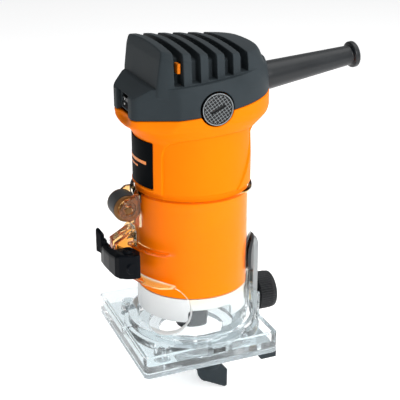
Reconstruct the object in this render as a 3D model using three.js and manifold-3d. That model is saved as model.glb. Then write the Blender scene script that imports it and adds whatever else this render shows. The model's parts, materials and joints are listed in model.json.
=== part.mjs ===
// Trim router with a clear plastic base and a roller guide. Millimetres, +Z up.
// Lengths below are laid out from the spindle axis and the underside of the sole; the whole group is
// then lowered so that its origin is the seat in the spindle where a cutter's shank ends.
// Front (switch, label, clamp lever) is -Y, rear (cord guard, roller guide) is +Y.
import * as THREE from 'three';
import { mergeVertices } from 'three/addons/utils/BufferGeometryUtils.js';
import Module from 'manifold-3d';

const wasm = await Module();
wasm.setup();

// ---- driving dimensions ----
const SEAT_Z = 26;                  // shank seat above the underside of the sole
const GAP = 0.3;                    // clearance between pieces that touch
const HOUSING_R = 31.4;             // motor housing where it slides in the tube
const BODY_R = 32.4;                // motor housing above the tube
const TUBE_IN_R = 31.8;
const TUBE_OUT_R = 33.9;
const TUBE_TOP = 93.5;
const BASE_X = 42.6;                // half width of the base
const BASE_FRONT = -43.8;
const BASE_REAR = 35.7;
const SOLE_T = 3;
const TRAY_TOP = 12.5;
const TRAY_FLOOR = 6;
const TRAY_WALL = 2.6;
const RING_R = 39.5;                // stepped ring around the foot of the tube
const BIT_HOLE_R = 19;
const SCREW_X = 29;
const SCREW_YS = [-29.5, 20.5];
const WINDOW_Y = -27.6;             // chip window: centre and radius of its round end
const WINDOW_Z = 29.8;
const WINDOW_R = 15.1;
const MOTOR_BOTTOM = 36;            // lower edge of the orange housing
const STEP_Z = 96;                  // step between housing and body
const TILT = 0.13;                  // slope of the head's joint lines towards the rear
const PART_Z = 141.7;               // joint between housing and head at the spindle axis
const LEDGE_Z = 158.3;              // shoulder of the head at the spindle axis
const HEAD_TOP = 173.6;
const BRUSH_Z = 144.4;
const CAP_R = 8.4;                  // brush cap
const RIB_PITCH = 8.9;
const RIB_FIRST_Y = -18.6;
const RIB_SLOTS = 5;
const WHEEL_Y = -39.6;
const WHEEL_Z = 85.2;
const WHEEL_R = 7.6;
const PIVOT_X = 11.2;               // clamp lever pivot
const PIVOT_Y = -41.6;
const BOLT_Z = 54.2;
const LEVER_LOW = 48.6;
const LEVER_HIGH = 62.5;
const KNOB_Z = 17.5;
const INSERT_Y = [32, 33.9];        // threaded insert for the guide knob
const BAR_Y = [34.3, 37.6];         // guide bar, front and rear faces
const PAD_Y = [32.9, 34];           // rubber saddle between the tube and the bar
const PAD_Z = [42, 61];
const PAD_HALF = 24;                // half its length round the tube
const PAD_R = 35.8;
const BAR_HALF = 11;
const BAR_TOP = 57;
const BAR_CORNER = 4;
const ARM_TOP = -17.4;
const ARM_T = 3;
const WING_Y = 12.5;                // wing screw under the guide arm
const ROLLER_Y = -4;
const ROLLER_R = 6;
const HEEL = [[37.4, 51.6], -24.3];  // rear lip of the arm: its span and lowest point
const SLOT_COUNT = 8;               // winding slots of the armature
const BLADE_COUNT = 7;              // fan blades
const GUARD_Y = 45.2;
const GUARD_Z = 149.8;
const GUARD_RISE = 7.6;             // degrees

// ---- materials ----
const finish = (color, roughness, metalness = 0, opacity = 1) =>
  new THREE.MeshStandardMaterial({ color, roughness, metalness, opacity, transparent: opacity < 1 });
const ORANGE = finish(0xff8a0c, 0.38);
const BLACK = finish(0x24282c, 0.5);
const GLOSS_BLACK = finish(0x14171a, 0.15);
const RUBBER = finish(0x1a1b1d, 0.65);
const CLEAR = finish(0xc9d6dc, 0.08, 0, 0.4);
const SMOKE = finish(0x9aa7ad, 0.15, 0, 0.55);
const ALUMINIUM = finish(0xc9ccd0, 0.35, 0.9);
const STEEL = finish(0xb4b8bd, 0.3, 1);
const DARK_STEEL = finish(0x3a3c40, 0.4, 0.8);
const COPPER = finish(0xb0622d, 0.35, 0.9);
const BRASS = finish(0xc9a452, 0.3, 0.9);
const CARBON = finish(0x222222, 0.8);
const LABEL = finish(0x101214, 0.45);

// ---- from three.js geometry to solids and back ----
function toSolid(geometry) {
  const bare = geometry.index ? geometry.toNonIndexed() : geometry.clone();
  bare.deleteAttribute('normal');
  bare.deleteAttribute('uv');
  const merged = mergeVertices(bare, 1e-4);
  const index = merged.index.array;
  const kept = [];
  for (let i = 0; i < index.length; i += 3) {
    const [a, b, c] = [index[i], index[i + 1], index[i + 2]];
    if (a !== b && b !== c && a !== c) kept.push(a, b, c);
  }
  const mesh = new wasm.Mesh({
    numProp: 3,
    vertProperties: new Float32Array(merged.attributes.position.array),
    triVerts: new Uint32Array(kept),
  });
  return new wasm.Manifold(mesh);
}

function toMesh(name, body, material) {
  const { vertProperties, triVerts } = body.getMesh();
  const geometry = new THREE.BufferGeometry();
  geometry.setAttribute('position', new THREE.BufferAttribute(new Float32Array(vertProperties), 3));
  geometry.setIndex(new THREE.BufferAttribute(new Uint32Array(triVerts), 1));
  geometry.computeVertexNormals();
  const mesh = new THREE.Mesh(geometry, material);
  mesh.name = name;
  return mesh;
}

const joined = (first, ...rest) => rest.reduce((all, next) => all.add(next), first);
const cut = (body, ...tools) => tools.reduce((left, tool) => left.subtract(tool), body);

// ---- basic solids ----
function block(x0, x1, y0, y1, z0, z1) {
  const box = new THREE.BoxGeometry(x1 - x0, y1 - y0, z1 - z0);
  return toSolid(box.translate((x0 + x1) / 2, (y0 + y1) / 2, (z0 + z1) / 2));
}

// A round bar along X, Y or Z between two stations, through the point (x, y, z) across it.
function rod(axis, r, from, to, [x, y, z] = [0, 0, 0], sides = 32, rFar = r) {
  const bar = new THREE.CylinderGeometry(rFar, r, to - from, sides);
  if (axis === 'x') bar.rotateZ(-Math.PI / 2);
  if (axis === 'z') bar.rotateX(Math.PI / 2);
  const middle = (from + to) / 2;
  const at = { x: [middle, y, z], y: [x, middle, z], z: [x, y, middle] }[axis];
  return toSolid(bar.translate(...at));
}

const post = (r, z0, z1, x = 0, y = 0, sides = 32, rTop = r) => rod('z', r, z0, z1, [x, y, 0], sides, rTop);
const ring = (rOut, rIn, z0, z1, sides = 36, x = 0, y = 0) =>
  post(rOut, z0, z1, x, y, sides).subtract(post(rIn, z0 - 1, z1 + 1, x, y, sides));

// A closed profile of [radius, height] points turned about Z.
function turned(profile, sides = 40) {
  const points = [...profile, profile[0]].map(([r, z]) => new THREE.Vector2(r, z));
  return toSolid(new THREE.LatheGeometry(points, sides).rotateX(Math.PI / 2));
}

function outline(points) {
  const shape = new THREE.Shape();
  points.forEach(([x, y], i) => (i ? shape.lineTo(x, y) : shape.moveTo(x, y)));
  shape.closePath();
  return shape;
}

const extruded = (shape, depth, curveSegments = 8) =>
  new THREE.ExtrudeGeometry(shape, { depth, bevelEnabled: false, curveSegments });

// Plates cut from a flat outline: seen from above (XY), from the front (XZ) or from the side (YZ).
const plateXY = (shape, z0, z1, curve) => toSolid(extruded(shape, z1 - z0, curve).translate(0, 0, z0));
const plateXZ = (shape, y0, y1, curve) =>
  toSolid(extruded(shape, y1 - y0, curve).rotateX(Math.PI / 2).translate(0, y1, 0));
const plateYZ = (shape, x0, x1, curve) =>
  toSolid(extruded(shape, x1 - x0, curve).rotateX(Math.PI / 2).rotateZ(Math.PI / 2).translate(x0, 0, 0));

function roundedRect(x0, x1, y0, y1, r) {
  const shape = new THREE.Shape();
  shape.moveTo(x0 + r, y0);
  shape.lineTo(x1 - r, y0);
  shape.absarc(x1 - r, y0 + r, r, -Math.PI / 2, 0);
  shape.lineTo(x1, y1 - r);
  shape.absarc(x1 - r, y1 - r, r, 0, Math.PI / 2);
  shape.lineTo(x0 + r, y1);
  shape.absarc(x0 + r, y1 - r, r, Math.PI / 2, Math.PI);
  shape.lineTo(x0, y0 + r);
  shape.absarc(x0 + r, y0 + r, r, Math.PI, 1.5 * Math.PI);
  return shape;
}

// A solid through flat egg-shaped sections. Each level has its height on the spindle axis, its half
// width a, its reach to the rear and to the front, where the front is cut flat, and its tilt.
function lofted(levels, sides = 48) {
  const points = [];
  levels.forEach(({ z, a, rear, front, flat = -1e3, tilt = 0, power = 2.15 }) => {
    for (let i = 0; i < sides; i += 1) {
      const turn = (2 * Math.PI * i) / sides;
      const [c, s] = [Math.cos(turn), Math.sin(turn)];
      const b = s < 0 ? front : rear;
      const r = (Math.abs(c / a) ** power + Math.abs(s / b) ** power) ** (-1 / power);
      const y = Math.max(r * s, flat);
      points.push(r * c, y, z + tilt * y);
    }
  });
  const low = levels[0];
  const high = levels[levels.length - 1];
  points.push(0, 0, low.z, 0, 0, high.z);
  const [lowHub, highHub] = [levels.length * sides, levels.length * sides + 1];
  const faces = [];
  for (let i = 0; i < sides; i += 1) {
    const j = (i + 1) % sides;
    faces.push(lowHub, j, i);
    const top = (levels.length - 1) * sides;
    faces.push(highHub, top + i, top + j);
    for (let k = 0; k < levels.length - 1; k += 1) {
      const [a, b] = [k * sides, (k + 1) * sides];
      faces.push(a + i, a + j, b + j, a + i, b + j, b + i);
    }
  }
  const geometry = new THREE.BufferGeometry();
  geometry.setAttribute('position', new THREE.BufferAttribute(new Float32Array(points), 3));
  geometry.setIndex(faces);
  return toSolid(geometry);
}

const meshes = [];
const add = (name, body, material) => meshes.push(toMesh(name, body, material));

// ---- clear base ----
function tray() {
  const outer = plateXY(roundedRect(-BASE_X, BASE_X, BASE_FRONT, BASE_REAR, 3), SOLE_T + GAP, TRAY_TOP, 4);
  const [side, front, rear] = [BASE_X - TRAY_WALL, BASE_FRONT + TRAY_WALL, BASE_REAR - TRAY_WALL];
  const pocket = plateXY(roundedRect(-side, side, front, rear, 2), TRAY_FLOOR, TRAY_TOP + 1, 4);
  const ribs = [
    block(-BASE_X + 1, BASE_X - 1, -6, -4, TRAY_FLOOR - 1, TRAY_TOP - 1),
    block(-1, 1, BASE_FRONT + 1, -36, TRAY_FLOOR - 1, TRAY_TOP - 2),
  ];
  return joined(cut(outer, pocket), ...ribs);
}

function screwBosses() {
  const bosses = [];
  for (const x of [-SCREW_X, SCREW_X]) {
    for (const y of SCREW_YS) bosses.push(post(4.2, TRAY_FLOOR - 1, TRAY_TOP - 1.5, x, y, 16));
  }
  return bosses;
}

// Opening in the front of the tube, cut from side to side with a round rear end, to see the cutter.
function chipWindow() {
  const end = rod('x', WINDOW_R, -60, 60, [0, WINDOW_Y, WINDOW_Z], 48);
  return joined(end, block(-60, 60, -60, WINDOW_Y, WINDOW_Z - WINDOW_R, WINDOW_Z + WINDOW_R));
}

function tube() {
  const wall = turned([
    [TUBE_IN_R, TRAY_FLOOR - 1], [TUBE_OUT_R + 3, TRAY_FLOOR - 1], [TUBE_OUT_R + 1, 17],
    [TUBE_OUT_R, 21], [TUBE_OUT_R, TUBE_TOP], [TUBE_IN_R, TUBE_TOP],
  ], 48);
  const foot = ring(RING_R, TUBE_IN_R, TRAY_FLOOR - 1, TRAY_TOP + 2, 48);
  const step = ring(RING_R + 1, RING_R - 2.5, TRAY_FLOOR + 4, TRAY_TOP + 3, 48);
  return cut(joined(wall, foot), step);
}

// Two ears that carry the depth wheel, and the slot for the wheel between them.
function wheelEars() {
  const profile = new THREE.Shape();
  profile.moveTo(-31.5, WHEEL_Z - 12);
  profile.lineTo(-31.5, TUBE_TOP);
  profile.lineTo(-36, TUBE_TOP);
  profile.absarc(WHEEL_Y + 0.8, WHEEL_Z, 6.4, Math.PI / 2, Math.PI * 1.25);
  return joined(plateYZ(profile, 6.6, 9.6, 6), plateYZ(profile, -9.6, -6.6, 6));
}

// Split clamp lugs with a flange above and below that runs round the tube.
function clampLugs() {
  const side = outline([[-31.5, 43], [-31.5, 71], [-36, 70.5], [-46.6, 64.5], [-46.6, 46]]);
  const lugs = plateYZ(side, -8, 4.2);
  const flange = (z) => cut(post(38, z, z + 1.8, 0, 0, 48), block(-60, 60, -24, 60, 0, 99));
  return joined(lugs, flange(63), flange(43.8));
}

function guideBoss() {
  return joined(
    block(-12.5, 12.5, 30, BAR_Y[0] - GAP, SOLE_T + GAP + 1, 30),
    block(-14.6, -11.5, 30, BAR_Y[1], SOLE_T + GAP + 1, 24),
    block(11.5, 14.6, 30, BAR_Y[1], SOLE_T + GAP + 1, 24));
}

function baseBody() {
  const shell = joined(cut(joined(tray(), tube()), chipWindow()), wheelEars(), clampLugs(), guideBoss());
  const solid = joined(shell, ...screwBosses());
  const screwHoles = [];
  for (const x of [-SCREW_X, SCREW_X]) {
    for (const y of SCREW_YS) screwHoles.push(post(1.9, 0, TRAY_TOP - 4, x, y, 12));
  }
  return cut(
    solid,
    post(TUBE_IN_R, TRAY_FLOOR, TUBE_TOP + 1, 0, 0, 48),
    post(BIT_HOLE_R + 6, 0, TRAY_FLOOR + 1, 0, 0, 36),
    block(-0.9, 0.9, -60, -30, 40, TUBE_TOP + 1),
    rod('x', 2.1, -12, 12, [0, WHEEL_Y, WHEEL_Z], 16),
    rod('x', WHEEL_R + 0.5, -6.6, 6.6, [0, WHEEL_Y, WHEEL_Z], 32),
    rod('x', 2.6, -12, 8, [0, PIVOT_Y, BOLT_Z], 16),
    rod('y', 4.5, INSERT_Y[0] - 2, INSERT_Y[1] + 2, [0, 0, KNOB_Z], 16),
    block(-11.4, 11.4, BAR_Y[0] - GAP, 60, 0, 99),
    block(-8.8, 8.8, PAD_Y[0] - GAP, 60, PAD_Z[0] + 1.7, PAD_Z[1] - 3.7),
    ...screwHoles);
}

function solePlate() {
  const plate = plateXY(roundedRect(-BASE_X, BASE_X, BASE_FRONT, BASE_REAR, 3), 0, SOLE_T, 4);
  const holes = [];
  for (const x of [-SCREW_X, SCREW_X]) {
    for (const y of SCREW_YS) {
      holes.push(post(2.2, -1, 4, x, y, 12), post(4.2, -1, 1.2, x, y, 16));
    }
  }
  const notch = block(-11.4, 11.4, BAR_Y[0] - GAP, 60, -1, 9);
  return cut(plate, post(BIT_HOLE_R, -1, 9, 0, 0, 36), notch, ...holes);
}

// Rubber saddle: a pad set into the tube, with edges that wrap round the tube as far as the bar reaches.
function guidePad() {
  const arch = roundedRect(-PAD_HALF, PAD_HALF, ...PAD_Z, 7);
  const edges = plateXZ(arch, 20, PAD_Y[1], 6).intersect(ring(PAD_R, TUBE_OUT_R + GAP, 0, 99, 60));
  return joined(edges, block(-8.4, 8.4, ...PAD_Y, PAD_Z[0] + 2, PAD_Z[1] - 4));
}

function buildBase() {
  add('base_body', baseBody(), CLEAR);
  add('sole_plate', solePlate(), SMOKE);
  let number = 1;
  for (const x of [-SCREW_X, SCREW_X]) {
    for (const y of SCREW_YS) {
      const head = cut(post(3.8, 0.3, 0.9, x, y, 16), block(x - 2.4, x + 2.4, y - 0.4, y + 0.4, 0, 0.6));
      add(`sole_screw_${number}`, joined(head, post(1.6, 0.5, 7.8, x, y, 12)), STEEL);
      number += 1;
    }
  }
  const nut = rod('x', 4.2, -11.6, -8.3, [0, PIVOT_Y, BOLT_Z], 6);
  const eye = post(3.6, BOLT_Z - 2.6, BOLT_Z + 2.6, PIVOT_X, PIVOT_Y, 16);
  const bolt = joined(nut, rod('x', 2.3, -10, PIVOT_X - 2, [0, PIVOT_Y, BOLT_Z], 16), eye);
  add('clamp_bolt', cut(bolt, post(1.8, 40, 70, PIVOT_X, PIVOT_Y, 16)), STEEL);
  add('guide_insert', cut(rod('y', 4.2, ...INSERT_Y, [0, 0, KNOB_Z], 16),
    rod('y', 2.5, 20, 40, [0, 0, KNOB_Z], 16)), BRASS);
  add('guide_pad', guidePad(), RUBBER);
}

// ---- motor housing and head ----
const bodyLevels = [
  { z: 112, a: BODY_R, rear: BODY_R, front: BODY_R },
  { z: 124.8, a: 31.7, rear: 31.7, front: 31.7 },
  { z: 128.5, a: 32.4, rear: 33.9, front: 34.5 },
  { z: 132.5, a: 34.6, rear: 38.7, front: 41, flat: -38.7 },
  { z: 135.4, a: 36.2, rear: 41.7, front: 41.5, flat: -38.9 },
  { z: 138.6, a: 36.9, rear: 42.6, front: 41.5, flat: -38.9 },
  { z: PART_Z, a: 37.2, rear: 42.3, front: 41.5, flat: -38.8, tilt: TILT },
];

function headLevels() {
  const band = { a: 37.2, front: 41.5, tilt: TILT };
  const blockAt = (z, a, rear, flat) =>
    ({ z, a, rear, front: rear - 1.5, flat, tilt: 0.05, power: 3 });
  return [
    { ...band, z: PART_Z + GAP, rear: 42.2, flat: -38.8 },
    { ...band, z: 151.8, rear: 41, flat: -38.2 },
    { ...band, z: 155.2, a: 36.9, rear: 40.3, flat: -35 },
    { ...band, z: LEDGE_Z, a: 35.6, rear: 38.9, flat: -29.6 },
    blockAt(LEDGE_Z + 0.8, 32.6, 36.6, -28.8),
    blockAt(HEAD_TOP - 4.5, 31.6, 33, -27.4),
    blockAt(HEAD_TOP - 1.6, 29.4, 30.8, -26.4),
    blockAt(HEAD_TOP, 25, 26, -24.6),
  ];
}

function motorHousing() {
  const shell = joined(
    post(HOUSING_R, MOTOR_BOTTOM, STEP_Z + 1, 0, 0, 48),
    turned([[0, STEP_Z], [BODY_R - 0.4, STEP_Z], [BODY_R, STEP_Z + 2], [BODY_R, 112.5], [0, 112.5]], 48),
    lofted(bodyLevels));
  const hollow = joined(
    post(29, MOTOR_BOTTOM - 1, 128, 0, 0, 36),
    lofted([
      { z: 127, a: 29, rear: 29, front: 29 },
      { z: 136, a: 33.6, rear: 38.6, front: 36, flat: -34.5 },
      { z: PART_Z + 1, a: 33.6, rear: 38.8, front: 36, flat: -34.5, tilt: TILT },
    ], 36));
  const label = cut(ring(40, BODY_R - 0.9, 97.4, 124, 48), block(-50, 50, -28, 50, 0, 200));
  const grips = [-1, 1].map((side) => {
    const patch = plateYZ(roundedRect(-23.4, 20, 99, 128.4, 7), 20, 50, 3);
    const shallow = patch.subtract(post(BODY_R - 0.9, 90, 140, 0, 0, 48));
    return side < 0 ? shallow.mirror([1, 0, 0]) : shallow;
  });
  const switchMouth = block(-11, 11, -45, -33, 137, 160);
  const guardSeat = rod('y', 8.8, 30, 60, [0, 0, GUARD_Z - 1], 24);
  return cut(shell, hollow, label, ...grips, ...capRecesses(), switchMouth, guardSeat);
}

function capRecesses() {
  const centre = [0, 0, BRUSH_Z];
  return [rod('x', CAP_R + 1, 33, 50, centre, 28), rod('x', CAP_R + 1, -50, -33, centre, 28)];
}

function ribSlots() {
  const slots = [];
  for (let i = 0; i < RIB_SLOTS; i += 1) {
    const y = RIB_FIRST_Y + i * RIB_PITCH;
    slots.push(block(-60, 60, y - 2.3, y + 2.3, LEDGE_Z + TILT * y + 0.6, HEAD_TOP + 4));
  }
  return slots;
}

// The head is a shell whose top is a row of ribs. Behind the slots a raised inner roof keeps the
// ribs together.
function headCap() {
  const solid = cut(lofted(headLevels()), ...ribSlots());
  const roof = lofted([
    { z: LEDGE_Z - 3, a: 27, rear: 28, front: 25, tilt: 0.1, power: 3 },
    { z: HEAD_TOP - 6, a: 24.6, rear: 25.6, front: 22.4, tilt: 0.05, power: 3 },
    { z: HEAD_TOP - 4.2, a: 21, rear: 22, front: 19.4, tilt: 0.05, power: 3 },
  ], 32);
  const hollow = lofted([
    { z: PART_Z - 1, a: 34.2, rear: 39, front: 37.6, flat: -35.2, tilt: TILT },
    { z: 152, a: 34, rear: 38, front: 36.5, flat: -33, tilt: TILT },
    { z: LEDGE_Z - 2.6, a: 29.5, rear: 33, front: 29, flat: -26.5, tilt: TILT, power: 2.6 },
    { z: LEDGE_Z - 1.8, a: 24.6, rear: 25.6, front: 22.6, tilt: 0.1, power: 3 },
    { z: HEAD_TOP - 8, a: 22.4, rear: 23.4, front: 20.4, tilt: 0.05, power: 3 },
  ], 32);
  const switchMouth = block(-9.3, 9.3, -45, -30, 130, 148.4);
  const guardHole = rod('y', 8.8, 30, 60, [0, 0, GUARD_Z - 1], 24);
  return cut(joined(solid, roof), hollow, ...capRecesses(), switchMouth, guardHole);
}

function bearingBracket() {
  const skirt = turned([
    [8.2, 33], [8.2, 31.6], [12.6, 31.6], [12.6, 24], [15, 21.5], [31.2, 21.5], [31.2, MOTOR_BOTTOM - GAP],
    [28.6, MOTOR_BOTTOM - GAP], [28.6, 44], [26.2, 44], [26.2, 37], [13.8, 37], [13.8, 44.6], [11.3, 44.6],
    [11.3, 33],
  ], 40);
  const dish = turned([[15.5, 20], [28.8, 20], [28.8, 30], [15.5, 33]], 32);
  const sideCuts = [-1, 1].map((side) => block(side < 0 ? -40 : 26, side < 0 ? -26 : 40, -13, 12, 20, 28.7));
  return cut(skirt, dish, ...sideCuts);
}

function cordGuard() {
  const profile = [[0, -13], [9.6, -13], [9.6, -11], [7.9, -11], [7.9, -1], [7.3, 2], [5.7, 48],
    [5.8, 51], [7.5, 53], [7.5, 55.6], [6.6, 56.8], [4, 56.8], [4, 50], [0, 50]];
  const points = profile.map(([r, z]) => new THREE.Vector2(r, z));
  const sleeve = new THREE.LatheGeometry(points, 20);
  sleeve.rotateX(THREE.MathUtils.degToRad(GUARD_RISE));
  return toSolid(sleeve.translate(0, GUARD_Y, GUARD_Z));
}

function labelPlate() {
  const plate = ring(BODY_R + 0.1, BODY_R - 0.6, 98, 123.4, 48);
  return cut(plate, block(-50, 50, -28.6, 50, 0, 200));
}

function stator() {
  const stack = ring(28.6, 18.6, 66, 118);
  const flats = [-1, 1].map((side) => block(side < 0 ? -30 : 25.6, side < 0 ? -25.6 : 30, -30, 30, 60, 120));
  return cut(stack, ...flats);
}

const coil = (side) => {
  const arcs = cut(ring(24.8, 19.2, 118.3, 125.5), block(-30, 30, -9, 9, 100, 140));
  return side < 0 ? cut(arcs, block(-30, 30, 0, 40, 100, 140)) : cut(arcs, block(-30, 30, -40, 0, 100, 140));
};

function brushParts(tag, side) {
  const along = (r, near, far, sides) =>
    rod('x', r, Math.min(side * near, side * far), Math.max(side * near, side * far), [0, 0, BRUSH_Z], sides);
  const boxAt = (near, far, y, z) => {
    const ends = [side * near, side * far].sort((a, b) => a - b);
    return block(...ends, -y, y, BRUSH_Z - z, BRUSH_Z + z);
  };
  add(`brush_holder_${tag}`, cut(along(6.6, 13.5, 31.6, 20), boxAt(12, 33, 3.4, 3.4)), BRASS);
  add(`carbon_brush_${tag}`, boxAt(11.8, 23, 3.1, 3.1), CARBON);
  const knurl = cut(along(CAP_R, 34.3, 37.4, 28), boxAt(36.6, 38, 0.7, 5.4));
  add(`brush_cap_${tag}`, joined(knurl, along(2.9, 26, 35, 16)), GLOSS_BLACK);
}

function buildMotor() {
  add('motor_housing', motorHousing(), ORANGE);
  add('head_cap', headCap(), BLACK);
  add('bearing_bracket', bearingBracket(), ALUMINIUM);
  add('label_plate', labelPlate(), LABEL);
  add('cord_guard', cordGuard(), RUBBER);
  add('stator_core', stator(), DARK_STEEL);
  add('field_coil_front', coil(-1), COPPER);
  add('field_coil_rear', coil(1), COPPER);
  add('lower_bearing', ring(11, 5.3, 33.3, 41.5, 28), STEEL);
  add('upper_bearing', ring(8, 3.3, 154.4, 160.4, 24), STEEL);
  add('bearing_holder', joined(
    cut(post(10.4, 153, 164, 0, 0, 24), post(8.3, 152, 160.8, 0, 0, 24)),
    cut(ring(22, 9.8, 154.2, 156.4, 28), block(-30, 30, 8, 30, 140, 170), block(-30, 30, -30, -8, 140, 170)),
  ), ORANGE);
  brushParts('right', 1);
  brushParts('left', -1);
  const switchWell = block(-5.4, 5.4, -40, -30, 139.6, 146.8);
  add('switch_frame', cut(block(-8.9, 8.9, -36.6, -22, 138.2, 148), switchWell), BLACK);
  add('rocker', rocker(), GLOSS_BLACK);
}

// Rocker switch, pivoted near the middle of its back, with its upper half pressed in.
function rocker() {
  const side = outline([
    [-37.9, 140.8], [-36.9, 143.2], [-37.3, 145.8], [-33, 145.7], [-31.4, 143.2], [-33, 140.9],
  ]);
  return plateYZ(side, -5.1, 5.1);
}

// ---- spindle ----
function buildSpindle() {
  const shaft = turned([
    [0, SEAT_Z], [4.9, SEAT_Z], [4.9, 14], [7.2, 14], [7.2, 31], [5, 31], [5, 48], [4, 48.2], [4, 153],
    [3, 153], [3, 159.6], [0, 159.6],
  ], 24);
  add('armature_shaft', shaft, STEEL);
  const slots = [0, 60, 120].map((turn) => block(-5, 5, -0.4, 0.4, 9, 20.5).rotate([0, 0, turn]));
  add('collet', cut(ring(4.6, 3.05, 11.4, 23.6, 24), ...slots), STEEL);
  const coreSlots = [...Array(SLOT_COUNT).keys()].map((i) =>
    block(12.5, 18, -0.9, 0.9, 64, 120).rotate([0, 0, (i * 360) / SLOT_COUNT]));
  add('armature_core', cut(ring(17.4, 4.3, 67, 117, 32), ...coreSlots), DARK_STEEL);
  add('commutator', ring(11.2, 4.3, 137, 151.8, 28), COPPER);
  const blades = [...Array(BLADE_COUNT).keys()].map((i) =>
    block(9, 25.4, -0.7, 0.7, 50, 57).rotate([0, 0, (i * 360) / BLADE_COUNT]));
  add('cooling_fan', joined(ring(25.8, 5.3, 57, 58.6, 32), ring(9.6, 5.3, 49.4, 58, 20), ...blades), BLACK);
  const nut = joined(post(11, 7.5, 22, 0, 0, 6), post(9, 5, 8, 0, 0, 24, 9.4));
  add('collet_nut', cut(nut, post(7.5, 12.2, 23, 0, 0, 24), post(5, 11.2, 13, 0, 0, 24),
    post(3.5, 4, 12, 0, 0, 24)), DARK_STEEL);
}

// ---- depth wheel and clamp lever ----
function depthWheel() {
  const axis = [0, WHEEL_Y, WHEEL_Z];
  return joined(rod('x', WHEEL_R, -6.2, 6.2, axis, 36), rod('x', 1.9, -9.4, 9.4, axis, 16));
}

// Cam hub on a vertical pin, with a handle that lies across the front of the lugs and ends in a
// raised thumb tab. The handle's top slopes down to the front.
function clampLever() {
  const hub = joined(
    post(6.4, LEVER_LOW, LEVER_HIGH, PIVOT_X, PIVOT_Y, 28),
    post(3.2, LEVER_LOW + 1, LEVER_HIGH + 1.6, PIVOT_X, PIVOT_Y, 20));
  const plan = outline([
    [PIVOT_X + 7.4, PIVOT_Y + 4.4], [PIVOT_X + 7.4, PIVOT_Y + 2], [14.8, -47.8], [11.8, -49.2], [4, -50.3],
    [-9.6, -50.8], [-10, -48.6], [-4, -47], [PIVOT_X - 6, -47], [PIVOT_X - 6, PIVOT_Y - 2.4],
    [PIVOT_X + 1, PIVOT_Y + 6.3],
  ]);
  const handle = plateXY(plan, LEVER_LOW, LEVER_HIGH);
  const slope = outline([[-47.4, LEVER_HIGH + 9], [-47.4, LEVER_HIGH], [-54, LEVER_HIGH - 7], [-60, 90]]);
  const bevel = plateYZ(slope, -30, 30);
  const tab = plateXY(outline([[-8.6, -50.8], [-12.2, -52.6], [-13.4, -51], [-8.8, -48.8]]),
    LEVER_LOW + 6, LEVER_HIGH + 6.5);
  return cut(joined(cut(joined(hub, handle), bevel), tab),
    post(1.8, 40, 70, PIVOT_X, PIVOT_Y, 16),
    block(PIVOT_X - 8, PIVOT_X + 4.2, PIVOT_Y - 4.2, PIVOT_Y + 8, BOLT_Z - 3, BOLT_Z + 3));
}

function buildControls() {
  add('depth_wheel', depthWheel(), RUBBER);
  add('clamp_lever', clampLever(), GLOSS_BLACK);
  add('lever_pin', post(1.5, LEVER_LOW + 0.3, LEVER_HIGH - 1.8, PIVOT_X, PIVOT_Y, 16), STEEL);
}

// ---- roller guide ----
function guideBar() {
  const front = roundedRect(-BAR_HALF, BAR_HALF, ARM_TOP + GAP, BAR_TOP, BAR_CORNER);
  const slot = roundedRect(-2.9, 2.9, KNOB_Z - 6, BAR_TOP - 8, 2.8);
  const upright = cut(plateXZ(front, BAR_Y[0], BAR_Y[1], 12), plateXZ(slot, 30, 40, 6));
  const foot = block(-BAR_HALF, BAR_HALF, 8, BAR_Y[1], ARM_TOP + GAP, ARM_TOP + GAP + 2.6);
  return cut(joined(upright, foot), post(2.4, -30, 0, 0, WING_Y, 20));
}

function guideKnob() {
  const profile = [[0, 0], [10.8, 0], [11.4, 0.8], [11.4, 9.4], [10, 11], [0, 11]]
    .map(([r, y]) => new THREE.Vector2(r, y));
  const head = toSolid(new THREE.LatheGeometry(profile, 36).translate(0, BAR_Y[1] + 2.6, KNOB_Z));
  return joined(head, rod('y', 2.2, INSERT_Y[0] + 0.2, BAR_Y[1] + 3, [0, 0, KNOB_Z], 16));
}

function guideArm() {
  const low = ARM_TOP - ARM_T;
  const [[near, far], lip] = HEEL;
  const plate = block(-9, 9, ROLLER_Y, far - 2, low, ARM_TOP);
  const nose = plateXY(roundedRect(-9, 9, ROLLER_Y - 6.5, ROLLER_Y + 8, 6), low, ARM_TOP, 6);
  const heel = plateYZ(outline([[near, ARM_TOP], [near + 4, lip], [far, lip], [far, ARM_TOP]]), -11, 11);
  const slot = plateXY(roundedRect(-2.4, 2.4, WING_Y - 6.5, WING_Y + 6.5, 2.3), -40, 0, 5);
  return cut(joined(plate, nose, heel), slot, post(2, -40, 0, 0, ROLLER_Y, 16));
}

// Flat thumb piece under the arm on a screw that goes up through the arm's slot.
function guideWing() {
  const blade = new THREE.Shape();
  blade.moveTo(2.6, -26.4);
  blade.lineTo(4, -31);
  blade.absarc(11, -31, 7, Math.PI, Math.PI * 1.42);
  blade.lineTo(19.6, -43.2);
  blade.lineTo(21.4, -44.2);
  blade.lineTo(23.2, -43.7);
  blade.lineTo(23.3, -32.3);
  blade.lineTo(18.4, -26.4);
  const stem = post(2.1, -28, ARM_TOP + 2.4, 0, WING_Y, 16);
  const boss = post(5.6, -28, ARM_TOP - ARM_T - GAP, 0, WING_Y, 24);
  return joined(plateYZ(blade, -1.5, 1.5, 6), boss, stem);
}

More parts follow.
